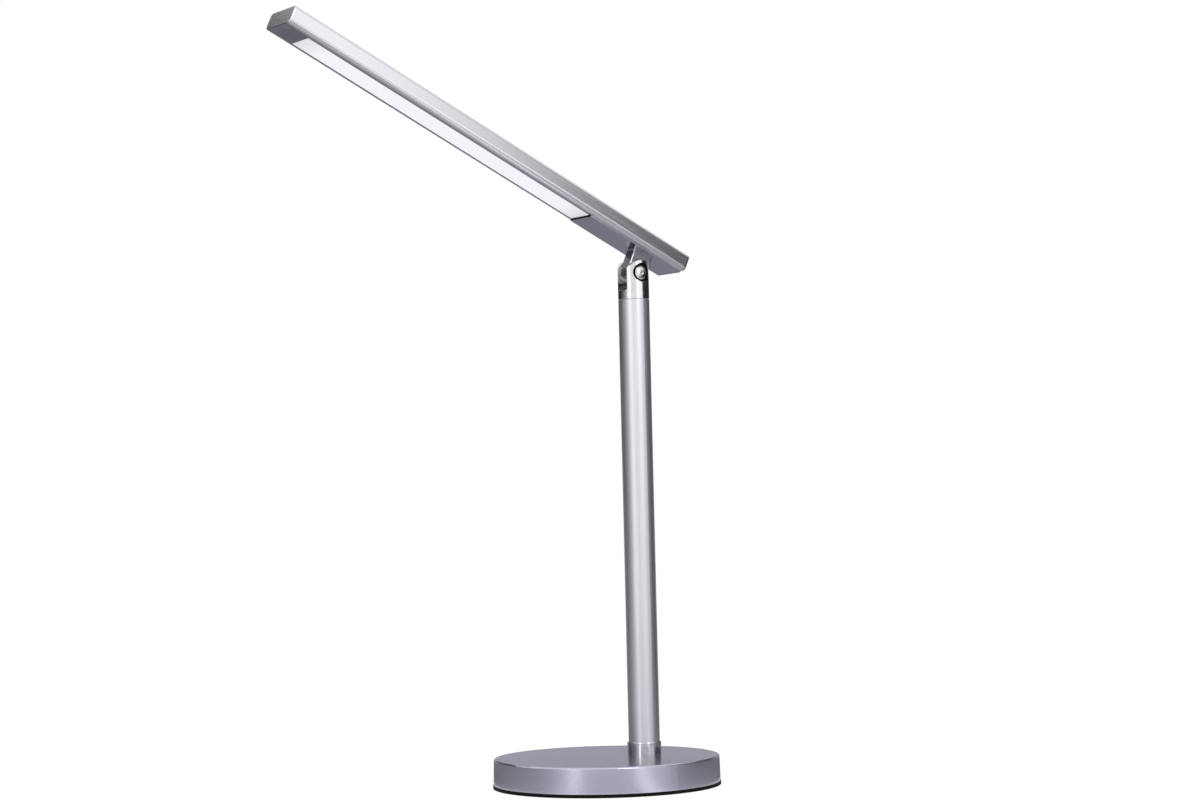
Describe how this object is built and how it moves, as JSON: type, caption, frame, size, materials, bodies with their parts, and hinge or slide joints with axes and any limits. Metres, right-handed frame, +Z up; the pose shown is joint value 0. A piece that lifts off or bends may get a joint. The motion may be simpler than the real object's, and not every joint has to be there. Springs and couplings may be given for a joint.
{
  "type": "led table lamp",
  "caption": "Slim light bar that tilts in a fork on a straight pole, on a round weighted base with a touch-sensitive metal cover and a power inlet at the rear.",
  "frame": {"origin": "centre of the base's underside, on the surface that the lamp stands on", "axes": "+Z up along the pole, -Y the way the light bar points, X along the hinge bolt"},
  "size_m": [0.1514, 0.3155, 0.4944],
  "materials": {
    "silver_paint": "satin metallic paint",
    "satin_aluminium": "fine satin, anodised",
    "brushed_aluminium": "brushed lengthwise, anodised",
    "polished_nickel": "polished plating",
    "tongue_steel": "satin plating",
    "grey_aluminium": "satin, blue-grey",
    "opal_acrylic": "opal white, frosted",
    "black_rubber": "matt",
    "grey_iron": "as cast",
    "zinc_steel": "zinc plated",
    "brass": "turned",
    "board_laminate": "green solder mask",
    "component_plastic": "moulded black",
    "nylon": "natural nylon",
    "lead_sheath": "black sheath",
    "led_board_white": "white solder mask on a metal core",
    "tape_grey": "thermal tape",
    "led_phosphor": "phosphor gel"
  },
  "bodies": {
    "stand": {"base_cover": "silver_paint", "pole": "brushed_aluminium", "pole_collar": "polished_nickel", "hinge_fork": "polished_nickel", "hinge_bolt": "polished_nickel", "hinge_nut": "polished_nickel", "foot_pad": "black_rubber", "hinge_bolt_washer": "black_rubber", "base_weight": "grey_iron", "base_plate": "zinc_steel", "base_plate_screws": "zinc_steel", "board_screws": "zinc_steel", "pole_plug": "zinc_steel", "pole_washer": "zinc_steel", "pole_nut": "zinc_steel", "hinge_spring_washer": "zinc_steel", "touch_spring": "zinc_steel", "threaded_nipple": "brass", "dc_socket_pin": "brass", "control_board": "board_laminate", "board_components": "component_plastic", "dc_socket": "component_plastic", "hinge_friction_washers": "nylon", "supply_lead": "lead_sheath", "pole_lead": "lead_sheath"},
    "head": {"hinge_tongue": "tongue_steel", "tongue_screw": "zinc_steel", "head_housing": "satin_aluminium", "tip_cap": "satin_aluminium", "tail_cap": "satin_aluminium", "diffuser": "opal_acrylic", "tip_cover": "grey_aluminium", "rear_cover": "grey_aluminium", "diffuser_seal": "black_rubber", "led_board": "led_board_white", "thermal_tape": "tape_grey", "leds": "led_phosphor", "head_lead": "lead_sheath"}
  },
  "joints": [
    {"name": "head_tilt", "type": "hinge", "parent": "stand", "child": "head", "pos_m": [0, 0.032, 0.3425], "axis": [-1, 0, 0], "range_deg": [-114.6, 65.4]}
  ]
}
